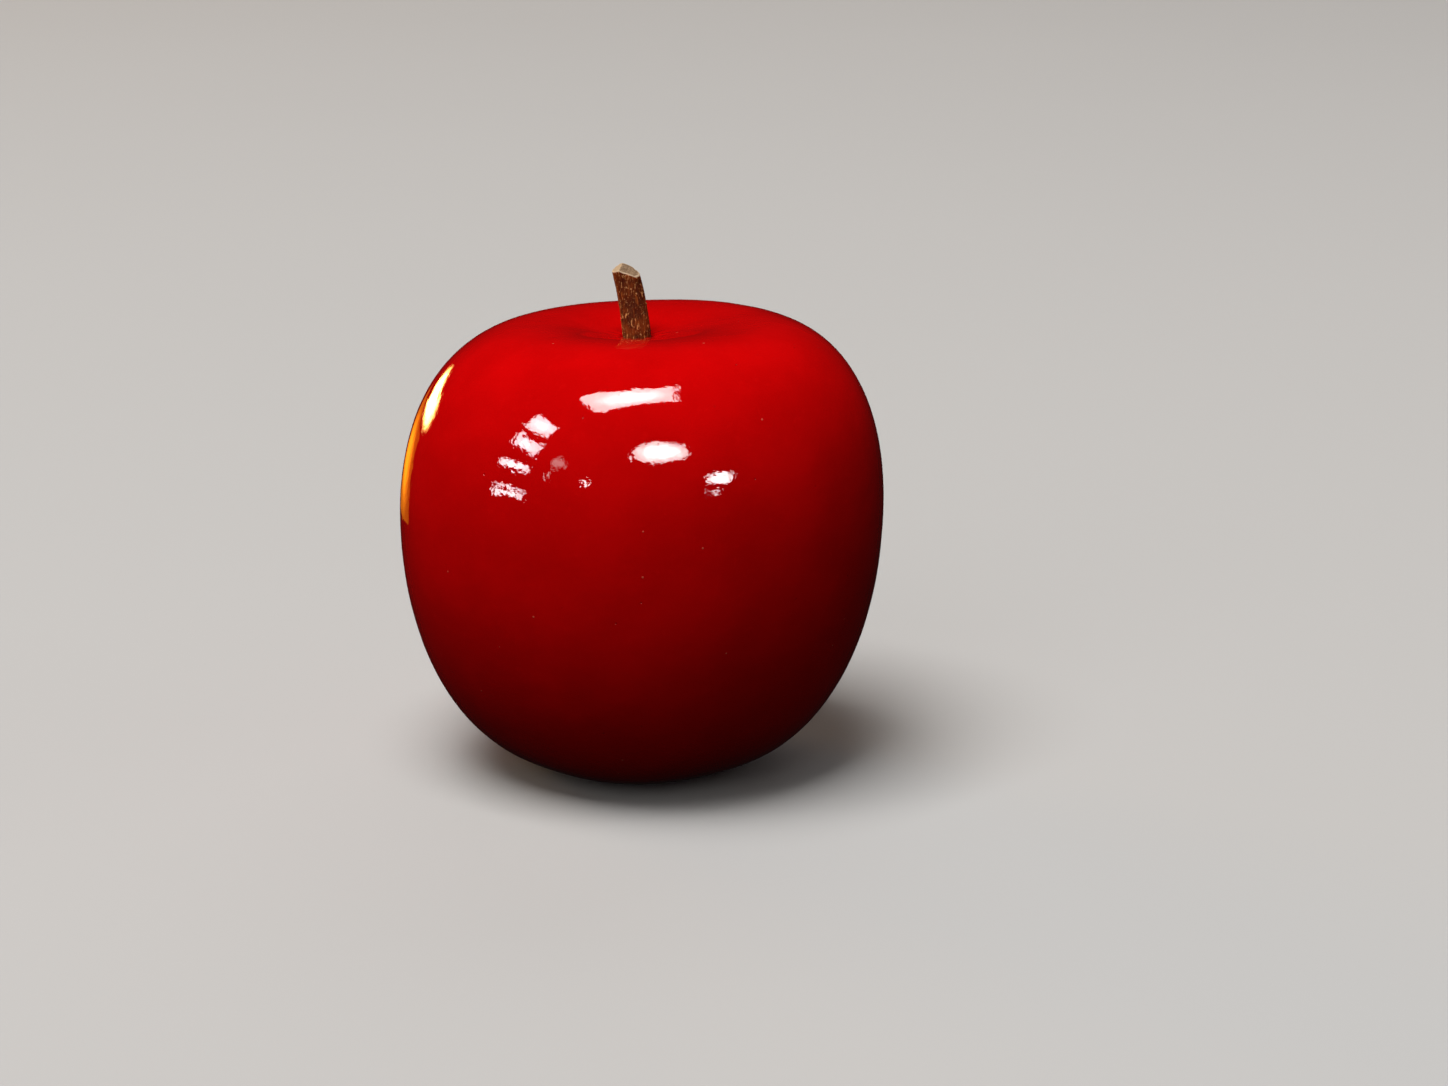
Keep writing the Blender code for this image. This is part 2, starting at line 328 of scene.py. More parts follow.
def noise_at(points, size, seed=0.0):
    """Smooth noise from -1 to 1 at each of an array of points, with lumps of about that size."""
    offset = Vector((seed, 2 * seed, 3 * seed))
    flat = np.reshape(points, (-1, 3)) / size
    values = [noise.noise(Vector(point) + offset) for point in flat.tolist()]
    return np.reshape(values, np.shape(points)[:-1])


# Curves of the fruit's section, as arrays of radius and height

def curve_points(handles, rows):
    """Points along a cubic Bezier curve, without its first one."""
    start, start_handle, end_handle, end = (np.array(point, float) for point in handles)
    share = np.linspace(0, 1, rows + 1)[1:, None]
    rest = 1 - share
    return (
        start * rest**3
        + start_handle * 3 * rest**2 * share
        + end_handle * 3 * rest * share**2
        + end * share**3
    )


def line_points(start, end, rows):
    """Points along a straight line, without its first one."""
    share = np.linspace(0, 1, rows + 1)[1:, None]
    return blend(np.array(start, float), np.array(end, float), share)


def elbow(start, end, across, along):
    """A curve that leaves start level and arrives at end upright."""
    start_handle = (blend(start[0], end[0], across), start[1])
    end_handle = (end[0], blend(end[1], start[1], along))
    return [start, start_handle, end_handle, end]


def s_curve(start, end):
    """A curve that leaves start level and arrives at end level."""
    middle = (start[0] + end[0]) / 2
    return [start, (middle, start[1]), (middle, end[1]), end]


def trumpet(rim, throat, rim_reach, throat_reach):
    """A curve that leaves the rim level and arrives at the throat still going down."""
    rim_handle = (blend(rim[0], throat[0], rim_reach), rim[1])
    throat_handle = (
        blend(rim[0], throat[0], 1 - throat_reach),
        blend(rim[1], throat[1], 1 - throat_reach),
    )
    return [rim, rim_handle, throat_handle, throat]


# Places that follow from the sizes above
CAVITY_FLOOR_HEIGHT = SHOULDER_HEIGHT - CAVITY_DEPTH
SOCKET_FLOOR_HEIGHT = CAVITY_FLOOR_HEIGHT - SOCKET_DEPTH
LIP_RADIUS = STEM_RADIUS + SKIN_CLEARANCE
BASIN_FLOOR_HALF_WIDTH = SEPAL_RING_RADIUS + SEPAL_THICKNESS + RIM_MARGIN
FLOWER_ROOT_HEIGHT = BASIN_DEPTH - PIECE_GAP
STEM_TIP = np.array((0, 0, STEM_REACH)) + STEM_BEND


def fruit_profile():
    """Half the fruit's section, from the eye's floor round the outside to the floor of the stem's socket."""
    basin_floor = (BASIN_FLOOR_HALF_WIDTH, BASIN_DEPTH)
    basin_rim = (BASIN_RADIUS, 0)
    foot = (BASIN_RADIUS + FOOT_LAND, 0)
    girth = (GIRTH_RADIUS, GIRTH_HEIGHT)
    crest = (SHOULDER_RADIUS, SHOULDER_HEIGHT)
    mouth = (LIP_RADIUS + SOCKET_LIP, CAVITY_FLOOR_HEIGHT)
    throat = (LIP_RADIUS, CAVITY_FLOOR_HEIGHT - SOCKET_LIP)
    socket_floor = (LIP_RADIUS, SOCKET_FLOOR_HEIGHT)
    shoulder = elbow(crest, girth, *SHOULDER_ROUNDNESS)[::-1]
    cavity = trumpet(crest, mouth, *CAVITY_FLARE)
    bevel = blend(np.array(mouth), np.array(throat), 0.5)
    lip = [mouth, bevel, throat, throat]
    return np.vstack(
        [
            line_points((0, BASIN_DEPTH), basin_floor, EDGE_ROWS),
            curve_points(s_curve(basin_floor, basin_rim), HOLLOW_ROWS),
            line_points(basin_rim, foot, EDGE_ROWS),
            curve_points(elbow(foot, girth, *BASE_ROUNDNESS), BODY_ROWS),
            curve_points(shoulder, BODY_ROWS),
            curve_points(cavity, HOLLOW_ROWS),
            curve_points(lip, EDGE_ROWS),
            line_points(throat, socket_floor, EDGE_ROWS),
        ]
    )


def grown(points):
    """Moves an array of points of the turned fruit to where they grew, as the CAD model does."""
    x, y, z = np.moveaxis(points, -1, 0)
    radius = np.hypot(x, y)
    angle = np.arctan2(y, x)
    upper = z > GIRTH_HEIGHT
    rise = (z / SHOULDER_HEIGHT) ** 2
    outwards = smooth_step(radius / np.where(upper, SHOULDER_RADIUS, BASIN_RADIUS))

    fade = np.exp(-z / LOBE_FADE_HEIGHT)
    depth = outwards * blend(LOBE_DEPTH_AT_GIRTH, LOBE_DEPTH_AT_FOOT, fade)
    swell = 1 + depth * np.cos(LOBES * (angle - LOBE_ANGLE))
    aside = np.where(upper, blend(STEM_OFFSET, LEAN * rise, outwards), LEAN * rise)
    x = x * swell + aside
    return np.stack([x, y * swell, z + CROWN_SLOPE * x * rise], axis=-1)


def turned(profile, columns):
    """Rings of points, one for each point of a profile of radii and heights."""
    angle = np.linspace(0, math.tau, columns, endpoint=False)
    radius = profile[:, :1]
    height = np.broadcast_to(profile[:, 1:], (len(profile), columns))
    return np.stack([radius * np.cos(angle), radius * np.sin(angle), height], axis=-1)


# Meshes

def skin_over(bm, rings, start, end):
    """Skins rings of points, an array of rows and columns, and closes it with a point at each end."""
    loops = [[bm.verts.new(point) for point in ring] for ring in rings.tolist()]
    first, last = bm.verts.new(start), bm.verts.new(end)
    columns = range(len(loops[0]))
    following = [*columns[1:], 0]
    for low, high in zip(loops, loops[1:]):
        for here, ahead in zip(columns, following):
            bm.faces.new((low[here], low[ahead], high[ahead], high[here]))
    for here, ahead in zip(columns, following):
        bm.faces.new((first, loops[0][ahead], loops[0][here]))
        bm.faces.new((loops[-1][here], loops[-1][ahead], last))


def mesh_from(bm, name):
    bmesh.ops.recalc_face_normals(bm, faces=bm.faces)
    mesh = bpy.data.meshes.new(name)
    bm.to_mesh(mesh)
    bm.free()
    mesh.shade_smooth()
    return mesh


def shell_mesh(name, rings, start, end):
    bm = bmesh.new()
    skin_over(bm, rings, start, end)
    return mesh_from(bm, name)


def push_out(mesh, distance):
    """Moves each vertex along its normal."""
    count = len(mesh.vertices)
    normals = np.empty(count * 3)
    mesh.vertices.foreach_get("normal", normals)
    places = np.empty(count * 3)
    mesh.vertices.foreach_get("co", places)
    places = places.reshape(-1, 3) + normals.reshape(-1, 3) * distance[:, None]
    mesh.vertices.foreach_set("co", places.ravel())
    mesh.update()


def add_attribute(mesh, name, values):
    attribute = mesh.attributes.new(name, "FLOAT", "POINT")
    attribute.data.foreach_set("value", np.asarray(values, np.float32))


def add_piece(name, mesh, material, node):
    """Makes a piece that stands for a CAD node and moves with it."""
    mesh.materials.append(material)
    piece = bpy.data.objects.new(name, mesh)
    bpy.context.scene.collection.objects.link(piece)
    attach(piece, "root")
    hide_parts(node)


# Fruit

def skin_relief(rings):
    """How far the skin stands out from its smooth shape at each point of the fruit's rings."""
    x, y, z = np.moveaxis(rings, -1, 0)
    radius = np.hypot(x, y)
    angle = np.arctan2(y, x)
    around = np.stack([x / radius, y / radius, z / SHOULDER_HEIGHT * RIB_CHANGE], axis=-1)

    relief = SWELL_DEPTH * noise_at(rings, SWELL_SIZE, seed=3.1)
    relief += RIPPLE_DEPTH * noise_at(rings, RIPPLE_SIZE, seed=7.7)
    ribs = noise_at(around, 1 / RIB_COUNT, seed=1.3)
    relief += RIB_DEPTH * ribs * smooth_step(radius / SHOULDER_RADIUS)

    wander = noise_at(around, WANDER_SIZE, seed=5.0)
    near_stem = smooth_step(1 - (radius - LIP_RADIUS) / CREASE_REACH) * (z > GIRTH_HEIGHT)
    off_lip = smooth_step((radius - LIP_RADIUS) / SOCKET_LIP)
    relief += CREASE_DEPTH * near_stem * off_lip * np.cos(CREASES * angle + CREASE_WANDER * wander)

    across_basin = (radius - BASIN_FLOOR_HALF_WIDTH) / (BASIN_RADIUS - BASIN_FLOOR_HALF_WIDTH)
    in_basin = np.sin(math.pi * np.clip(across_basin, 0, 1)) * (z < BASIN_DEPTH)
    relief += PLEAT_DEPTH * in_basin * np.cos(PLEATS * angle + PLEAT_WANDER * wander)
    return relief * smooth_step(z / FLAT_FOOT_HEIGHT)


def fruit_mesh():
    """The fruit with its relief. Near the stem it turns from round to the stem's oval."""
    rings = turned(fruit_profile(), FRUIT_COLUMNS)
    relief = skin_relief(rings)
    fine = grown(rings)
    radius = np.hypot(rings[..., 0], rings[..., 1])
    near_stem = 1 - smooth_step((radius - LIP_RADIUS) / CREASE_REACH)
    fine[..., 1] *= np.where(rings[..., 2] > GIRTH_HEIGHT, blend(1, STEM_FLATNESS, near_stem), 1)
    ends = grown(np.array([[0, 0, BASIN_DEPTH], [0, 0, SOCKET_FLOOR_HEIGHT]]))
    mesh = shell_mesh("apple_fruit", fine, *ends.tolist())
    push_out(mesh, np.append(relief.ravel(), [0, 0]))
    return mesh


# Stem

def stem_radius(height):
    """The stem's radius at a height over the cavity's floor, which is negative in the socket."""
    waist_height = STEM_REACH / 2
    socket = blend(STEM_RADIUS, STEM_ROOT_RADIUS, -height / SOCKET_DEPTH)
    lower = blend(STEM_RADIUS, STEM_WAIST_RADIUS, smooth_step(height / waist_height))
    upper = blend(STEM_WAIST_RADIUS, STEM_TIP_RADIUS, smooth_step(height / waist_height - 1))
    return np.where(height < 0, socket, np.where(height < waist_height, lower, upper))


def stem_points(height, angle, share=1.0, swell=0.0):
    """Points on the stem's lines, which run at an angle round it and a share of its radius."""
    along = np.maximum(height, 0)[..., None] / STEM_REACH
    upright = np.array((0, 0, 1))
    middle = STEM_BEND * along**STEM_BEND_POWER + upright * height[..., None]
    lean = STEM_BEND * STEM_BEND_POWER * along ** (STEM_BEND_POWER - 1) / STEM_REACH + upright
    across = np.cross((0, 1, 0), lean)
    across /= np.linalg.norm(across, axis=-1, keepdims=True)
    back = np.cross(lean, across)
    back /= np.linalg.norm(back, axis=-1, keepdims=True)
    radius = (share * (stem_radius(height) + swell))[..., None]
    aside = across * radius * np.cos(angle)[..., None]
    deep = back * radius * STEM_FLATNESS * np.sin(angle)[..., None]
    return middle + aside + deep


def past_cut(points):
    """How far points of the stem lie beyond the slanting cut."""
    return (points - STEM_TIP) @ STEM_CUT_NORMAL


def past_chip(points):
    """How far they lie beyond the chip beside the cut, which starts at a ridge across the cut."""
    ridge = STEM_TIP + np.array((1, 0, -STEM_CUT_NORMAL[0] / STEM_CUT_NORMAL[2])) * STEM_RIDGE_OFFSET
    return (points - ridge) @ STEM_CHIP_NORMAL


def cut_height(angle, share):
    """The height at which a line of the stem meets the slanting cut or the chip beside it."""
    low = np.full(np.shape(angle), STEM_REACH / 2)
    high = np.full(np.shape(angle), STEM_REACH + 2 * STEM_TIP_RADIUS)
    for _ in range(CUT_SEARCH_STEPS):
        middle = (low + high) / 2
        points = stem_points(middle, angle, share)
        beyond = np.maximum(past_cut(points), past_chip(points)) > 0
        low = np.where(beyond, low, middle)
        high = np.where(beyond, middle, high)
    return low


def bark_relief(height, angle):
    """How far the bark stands out, at heights and angles in arrays."""
    turn = np.stack([np.cos(angle), np.sin(angle), np.zeros_like(angle)], axis=-1) * STEM_RADIUS
    lift = np.array((0, 0, 1)) * height[..., None]
    across, along = turn / FIBRE_WIDTH, lift / FIBRE_LENGTH
    fibres = noise_at(across + along, 1, seed=2.0)
    fine_fibres = noise_at(across * FINE_FIBRE_NARROWING + along * FINE_FIBRE_SHORTENING, 1, seed=8.0)
    knots = noise_at(turn + lift, KNOT_SIZE, seed=4.0)
    bends = noise_at(turn + lift, BEND_SIZE, seed=6.0)
    ridges = 0.5 - 2 * np.abs(fibres)
    relief = FIBRE_DEPTH * (ridges + FINE_FIBRE_DEPTH * fine_fibres)
    relief += KNOT_DEPTH * smooth_step((knots - KNOT_RARITY) / KNOT_EDGE)
    return (relief + BEND_DEPTH * bends) * smooth_step(height / STEM_RADIUS + BARK_ROOT)


def cut_end(angle, rim_noise, relief):
    """Rings over the cut end, from its bark inwards.

    Also gives each point's share of the stem's radius, and the height in the middle.
    """
    shares = np.linspace(1, 0, STEM_END_RINGS + 1)[1:-1, None]
    angles = np.broadcast_to(angle, (len(shares), STEM_COLUMNS))
    shares = np.broadcast_to(shares, angles.shape)
    bark = smooth_step((shares - 1 + 2 * BARK_THICKNESS) / BARK_THICKNESS)
    pith = 1 - smooth_step(shares / PITH_RADIUS - 0.5)
    height = cut_height(angles, shares)
    height = height + bark * (BARK_LIP + TORN_EDGE * rim_noise) - PITH_DEPTH * pith
    smooth = stem_points(height, angles, shares, swell=relief)
    height = height + CUT_GRAIN_DEPTH * noise_at(smooth, CUT_GRAIN_SIZE, seed=5.5)
    return stem_points(height, angles, shares, swell=relief), shares, height[-1].mean()


def stem_mesh():
    """The stem, from its root in the socket to its cut end, with attributes that its material reads."""
    angle = np.linspace(0, math.tau, STEM_COLUMNS, endpoint=False)
    around = np.stack([np.cos(angle), np.sin(angle), 0 * angle], axis=-1)
    rim_noise = noise_at(around, TORN_EDGE_SIZE, seed=9.0)
    rim_height = cut_height(angle, 1.0) + TORN_EDGE * rim_noise

    root = -SOCKET_DEPTH + PIECE_GAP
    rows = np.linspace(0, 1, STEM_ROWS + 1)[:, None]
    height = blend(root, rim_height[None, :], rows)
    angles = np.broadcast_to(angle, height.shape)
    relief = bark_relief(height, angles)
    side = stem_points(height, angles, swell=relief)
    end, end_shares, middle_height = cut_end(angle, rim_noise, relief[-1])

    foot = grown(np.array((0, 0, CAVITY_FLOOR_HEIGHT), float))
    start = foot + np.array((0, 0, root))
    top = foot + stem_points(np.array(middle_height), np.array(0.0), 0.0)
    mesh = shell_mesh("apple_stem", np.concatenate([side, end]) + foot, start.tolist(), top.tolist())

    on_side = np.zeros(side[:-1].shape[:-1]).ravel()
    on_end = np.ones(STEM_COLUMNS + end_shares.size)
    on_chip = np.concatenate([(past_chip(points) > past_cut(points)).ravel() for points in (side, end)])
    add_attribute(mesh, "on_cut", [*on_side, *on_end, 0, 1])
    add_attribute(mesh, "on_chip", [*on_chip, 0, 0])
    add_attribute(mesh, "inwards", [*np.zeros(height.size), *(1 - end_shares.ravel()), 0, 1])
    return mesh


# Dried flower

def varied(rng):
    """A factor near 1."""
    return 1 + rng.uniform(-SEPAL_VARIATION, SEPAL_VARIATION)


def headings(line):
    """The unit direction of a line at each of its points."""
    ahead = np.gradient(line, axis=0)
    return ahead / np.linalg.norm(ahead, axis=-1, keepdims=True)


def across_from(ahead, sideways):
    """Unit vectors square to a line's directions and to a vector."""
    across = np.cross(ahead, sideways)
    return across / np.linalg.norm(across, axis=-1, keepdims=True)


def turned_about(points, angle):
    """Turns points about +Z."""
    x, y, z = np.moveaxis(points, -1, 0)
    cos, sin = math.cos(angle), math.sin(angle)
    return np.stack([x * cos - y * sin, x * sin + y * cos, z], axis=-1)


def sepal_spine(rng):
    """The sepal's middle line, from its root down to its tip, before it is set round the flower."""
    drop = SEPAL_DROP * (1 - SEPAL_VARIATION * rng.random())
    spread = SEPAL_SPREAD * varied(rng)
    sideways = SEPAL_WIDTH * rng.uniform(-SEPAL_TIP_SWAY, SEPAL_TIP_SWAY)
    root = np.array((SEPAL_RING_RADIUS, 0, FLOWER_SINK))
    bends = [root + np.array((-SEPAL_THICKNESS, 0, -drop * share)) for share in SEPAL_BENDS]
    tip = np.array((SEPAL_RING_RADIUS + spread, sideways, -drop))
    return np.vstack([root, curve_points([root, *bends, tip], SEPAL_ROWS)])


def sepal_mesh(number, rng):
    """One dried sepal: a curled, veined blade that hangs from the eye's floor."""
    spine = sepal_spine(rng)
    outwards = across_from(headings(spine), (0, 1, 0))

    share = np.linspace(0, 1, SEPAL_ROWS + 1)[:, None]
    angle = np.linspace(0, math.tau, SEPAL_COLUMNS, endpoint=False)
    across = np.cos(angle)[None, :] * np.ones_like(share)
    taper = (1 - share ** SEPAL_TAPER[0]) ** SEPAL_TAPER[1]
    width = SEPAL_WIDTH / 2 * varied(rng) * taper + SEPAL_END_WIDTH
    veins = SEPAL_VEIN_DEPTH * np.cos(across * SEPAL_VEINS) * (1 - share)
    section = 1 - SEPAL_EDGE_THINNING * across**2 + veins
    thickness = SEPAL_THICKNESS / 2 * blend(1, SEPAL_END_THICKNESS, share) * section
    curl = rng.uniform(*SEPAL_CURL) * share**2
    waves = np.sin(share * rng.uniform(*SEPAL_CRIMPS) + across * 2 + number)
    bow = (SEPAL_CUPPING + curl) * np.abs(across) ** SEPAL_CURL_POWER * width
    depth = thickness * np.sin(angle)[None, :] - bow + SEPAL_CRIMP_DEPTH * waves * across**2
    rings = (
        spine[:, None, :]
        + np.array((0, 1, 0)) * (width * across)[..., None]
        + outwards[:, None, :] * depth[..., None]
    )
    turn = LOBE_ANGLE + math.tau * (number - 1) / LOBES
    level = np.array((0, 0, FLOWER_ROOT_HEIGHT))
    rings = turned_about(rings, turn) + level
    ends = turned_about(spine[[0, -1]], turn) + level
    return shell_mesh(f"apple_sepal_{number}", rings, *ends.tolist())


def add_strand(bm, handles, radii):
    """A thin round strand along a Bezier curve, with a radius for each of its rows."""
    spine = curve_points(handles, STRAND_ROWS)
    ahead = headings(spine)
    across = across_from(ahead, STRAND_SIDE)
    back = np.cross(ahead, across)
    angle = np.linspace(0, math.tau, STRAND_SIDES, endpoint=False)
    around = (
        across[:, None, :] * np.cos(angle)[None, :, None]
        + back[:, None, :] * np.sin(angle)[None, :, None]
    )
    rings = spine[:, None, :] + around * radii[:, None, None]
    skin_over(bm, rings, spine[0].tolist(), spine[-1].tolist())


def bulge(share, place, half_length):
    """A round swelling along a strand, 1 in its middle."""
    return np.exp(-(((share - place) / half_length) ** 2))


def add_stamen(bm, number, top, rng):
    """A filament with a swollen anther near its end."""
    angle = math.tau * (number + rng.uniform(-STAMEN_SPACING_VARIATION, STAMEN_SPACING_VARIATION)) / STAMENS
    length = TUFT_LENGTH * rng.uniform(*STAMEN_LENGTH) + FLOWER_SINK
    root = rng.uniform(*STAMEN_ROOT)
    end = rng.uniform(*STAMEN_END)
    belly = rng.uniform(*STAMEN_BELLY)
    reach = TUFT_RADIUS * np.array((root, belly, end))
    twist = [rng.uniform(-most, most) for most in STAMEN_TWIST]
    turn = angle + np.array((0, *twist))
    level = top - length * np.array((0, 0.5, 1))
    start, bend, tip = np.stack([reach * np.cos(turn), reach * np.sin(turn), level], axis=-1)
    share = np.linspace(0, 1, STRAND_ROWS)
    filament = FILAMENT_RADIUS * blend(FILAMENT_ROOT_SWELL, 1, share)
    radii = filament + (ANTHER_RADIUS - FILAMENT_RADIUS) * bulge(share, *ANTHER_PLACE)
    add_strand(bm, [start, (start + bend) / 2, bend, tip], radii)


def add_style(bm, number, top, rng):
    """A style in the middle of the tuft, which widens to its stigma."""
    angle = math.tau * (number + 0.5) / STYLES
    spread = TUFT_RADIUS * rng.uniform(*STYLE_SPREAD)
    drop = (TUFT_LENGTH + FLOWER_SINK) * rng.uniform(*STYLE_LENGTH)
    outwards = np.array((math.cos(angle), math.sin(angle), 0))
    start = outwards * STYLE_RADIUS + np.array((0, 0, top))
    bend = start - np.array((0, 0, drop * STYLE_BEND))
    tip = outwards * spread + np.array((0, 0, top - drop))
    share = np.linspace(0, 1, STRAND_ROWS)
    radii = STYLE_RADIUS * STIGMA_SWELL * (1 + bulge(share, *STIGMA_PLACE))
    add_strand(bm, [start, bend, bend, tip], radii)


def stamens_mesh(rng):
    """The dried stamens and styles, which hang in a tuft from the middle of the eye's floor."""
    bm = bmesh.new()
    top = FLOWER_ROOT_HEIGHT + FLOWER_SINK
    for number in range(STAMENS):
        add_stamen(bm, number, top, rng)
    for number in range(STYLES):
        add_style(bm, number, top, rng)
    return mesh_from(bm, "apple_stamens")


# Materials

def new_material(name):
    material = bpy.data.materials.new(name)
    material.use_nodes = True
    return material, material.node_tree, material.node_tree.nodes["Principled BSDF"]


def add_node(tree, kind, values=None, **settings):
    """Adds a shader node. A value is a number, a colour or another node's output, which is linked."""
    made = tree.nodes.new("ShaderNode" + kind)
    for name, setting in settings.items():
        setattr(made, name, setting)
    for socket, value in (values or {}).items():
        if isinstance(value, bpy.types.NodeSocket):
            tree.links.new(value, made.inputs[socket])
        else:
            made.inputs[socket].default_value = value
    return made


def place_in(tree, stretch=(1, 1, 1), turn=(0, 0, 0)):
    """Where a point of the surface is, in metres, stretched and turned."""
    place = add_node(tree, "TexCoord").outputs["Object"]
    shrink = [1 / share for share in stretch]
    return add_node(tree, "Mapping", {"Vector": place, "Scale": shrink, "Rotation": turn}).outputs[0]


def noise_in(tree, place, size, detail=2.0, roughness=0.5):
    """Noise from 0 to 1, with lumps of about that size."""
    values = {"Vector": place, "Scale": 1 / size, "Detail": detail, "Roughness": roughness}
    return add_node(tree, "TexNoise", values).outputs["Fac"]


def remap(tree, value, low, high, to_low=0.0, to_high=1.0):
    """Turns the values from low to high into those from to_low to to_high, smoothly."""
    values = {"Value": value, "From Min": low, "From Max": high, "To Min": to_low, "To Max": to_high}
    return add_node(tree, "MapRange", values, interpolation_type="SMOOTHSTEP").outputs["Result"]


def calculate(tree, operation, first, second=0):
    return add_node(tree, "Math", {0: first, 1: second}, operation=operation).outputs[0]


def times(tree, first, second):
    return calculate(tree, "MULTIPLY", first, second)


def mix_colors(tree, share, low, high):
    """Mixes two colours, each given as three numbers or as another node's output."""
    low, high = (color if isinstance(color, bpy.types.NodeSocket) else (*color, 1) for color in (low, high))
    values = {MIX_SHARE: share, MIX_LOW: low, MIX_HIGH: high}
    return add_node(tree, "Mix", values, data_type="RGBA").outputs[MIX_RESULT]


def dots_in(tree, place, spacing, radius, kept):
    """Scattered round dots, 1 inside and 0 outside. Only a share of the places for a dot hold one."""
    cells = add_node(tree, "TexVoronoi", {"Vector": place, "Scale": 1 / spacing})
    reach = radius / spacing
    dot = remap(tree, cells.outputs["Distance"], DOT_CORE * reach, reach, 1, 0)
    pick = add_node(tree, "SeparateColor", {"Color": cells.outputs["Color"]}).outputs["Red"]
    return times(tree, dot, calculate(tree, "LESS_THAN", pick, kept))


def add_bump(tree, shader, reliefs, coat=False):
    """Chains bumps, given as pairs of a height from 0 to 1 and its depth in metres."""
    normal = None
    for height, depth in reliefs:
        values = {"Height": height, "Distance": depth}
        if normal:
            values["Normal"] = normal
        normal = add_node(tree, "Bump", values).outputs["Normal"]
    tree.links.new(normal, shader.inputs["Normal"])
    if coat:
        tree.links.new(normal, shader.inputs["Coat Normal"])


def skin_material():
    """Deep red skin under a clear wax: faintly mottled, with pale dots, painted shade in its pits, and a
    fine orange-peel surface.
    """
    material, tree, shader = new_material("apple_skin")
    place = place_in(tree)
    clouds = noise_in(tree, place, CLOUD_SIZE, detail=4)
    freckles = noise_in(tree, place, FRECKLE_SIZE, detail=3, roughness=0.6)
    lenticels = dots_in(tree, place, LENTICEL_SPACING, LENTICEL_RADIUS, LENTICELS_KEPT)
    pits = dots_in(tree, place, PIT_SPACING, PIT_RADIUS, PITS_KEPT)

    color = mix_colors(tree, remap(tree, clouds, 0.35, 0.68), SKIN_DEEP, SKIN_BRIGHT)
    color = mix_colors(tree, remap(tree, freckles, 0.55, 0.75, 0, 0.25), color, SKIN_FRECKLE)
    color = mix_colors(tree, times(tree, lenticels, 0.5), color, SKIN_LENTICEL)
    # painted shade: the pits are coloured a darker red, as shade in them
    color = mix_colors(tree, times(tree, pits, 0.35), color, SKIN_PIT_SHADE)
    tree.links.new(color, shader.inputs["Base Color"])
    tree.links.new(remap(tree, clouds, 0.3, 0.7, 0.26, 0.36), shader.inputs["Roughness"])
    shader.inputs["Specular IOR Level"].default_value = 0
    shader.inputs["Coat Weight"].default_value = 1.0
    shader.inputs["Coat Roughness"].default_value = WAX_ROUGHNESS
    shader.inputs["Coat IOR"].default_value = WAX_IOR

    coarse_peel = noise_in(tree, place, COARSE_PEEL_SIZE, detail=2)
    peel = noise_in(tree, place, PEEL_SIZE, detail=2)
    reliefs = [
        (coarse_peel, COARSE_PEEL_DEPTH),
        (peel, PEEL_DEPTH),
        (lenticels, LENTICEL_DEPTH),
        (pits, PIT_DEPTH),
    ]
    add_bump(tree, shader, reliefs, coat=True)
    return material


def bark_color(tree, fibres, streaks, flecks):
    """Dark red-brown bark with paler fibres, painted shade in its crevices, and scratches, flecks and warts
    of cream.
    """
    patches = noise_in(tree, place_in(tree), BARK_PATCH_SIZE, detail=3)
    warts = remap(tree, noise_in(tree, place_in(tree), BARK_WART_SIZE, detail=2), 0.66, 0.7)
    swirls = noise_in(tree, place_in(tree, stretch=BARK_SWIRL_STRETCH), BARK_SWIRL_SIZE, detail=2)
    off_line = calculate(tree, "ABSOLUTE", calculate(tree, "SUBTRACT", swirls, 0.5))
    lines = remap(tree, off_line, 0.004, 0.018, 1, 0)
    scratches = times(tree, lines, remap(tree, streaks, 0.45, 0.6))

    color = mix_colors(tree, remap(tree, patches, 0.35, 0.65), BARK_DARK, BARK_LIGHT)
    color = mix_colors(tree, remap(tree, fibres, 0.5, 0.7, 0, 0.7), color, BARK_FIBRE)
    # painted shade: darker where the streaks' relief is lowest, in the crevices
    color = mix_colors(tree, remap(tree, streaks, 0.35, 0.5, 0.5, 0), color, BARK_CREVICE_SHADE)
    color = mix_colors(tree, times(tree, scratches, 0.5), color, BARK_SCRATCH)
    color = mix_colors(tree, times(tree, flecks, 0.8), color, BARK_FLECK)
    return mix_colors(tree, times(tree, warts, 0.8), color, BARK_WART)


def wood_color(tree, pores):
    """The cut end: porous wood with faint rings, a darker pith, a paler chip and a cream rim."""
    inwards = add_node(tree, "Attribute", attribute_name="inwards").outputs["Fac"]
    on_chip = add_node(tree, "Attribute", attribute_name="on_chip").outputs["Fac"]
    rings = remap(tree, calculate(tree, "SINE", times(tree, inwards, WOOD_RING_RATE)), -1, 1)
    pith = remap(tree, inwards, 1 - 1.5 * PITH_RADIUS, 1 - 0.5 * PITH_RADIUS)
    rim = remap(tree, inwards, 0.6 * BARK_THICKNESS, 1.2 * BARK_THICKNESS, 1, 0)

    color = mix_colors(tree, remap(tree, pores, 0.4, 0.62), WOOD_PORE, WOOD_LIGHT)
    color = mix_colors(tree, times(tree, rings, 0.3), color, WOOD_RING)
    color = mix_colors(tree, times(tree, pith, 0.6), color, WOOD_PITH)
    color = mix_colors(tree, times(tree, on_chip, 0.7), color, WOOD_CHIP)
    return mix_colors(tree, rim, color, WOOD_RIM)


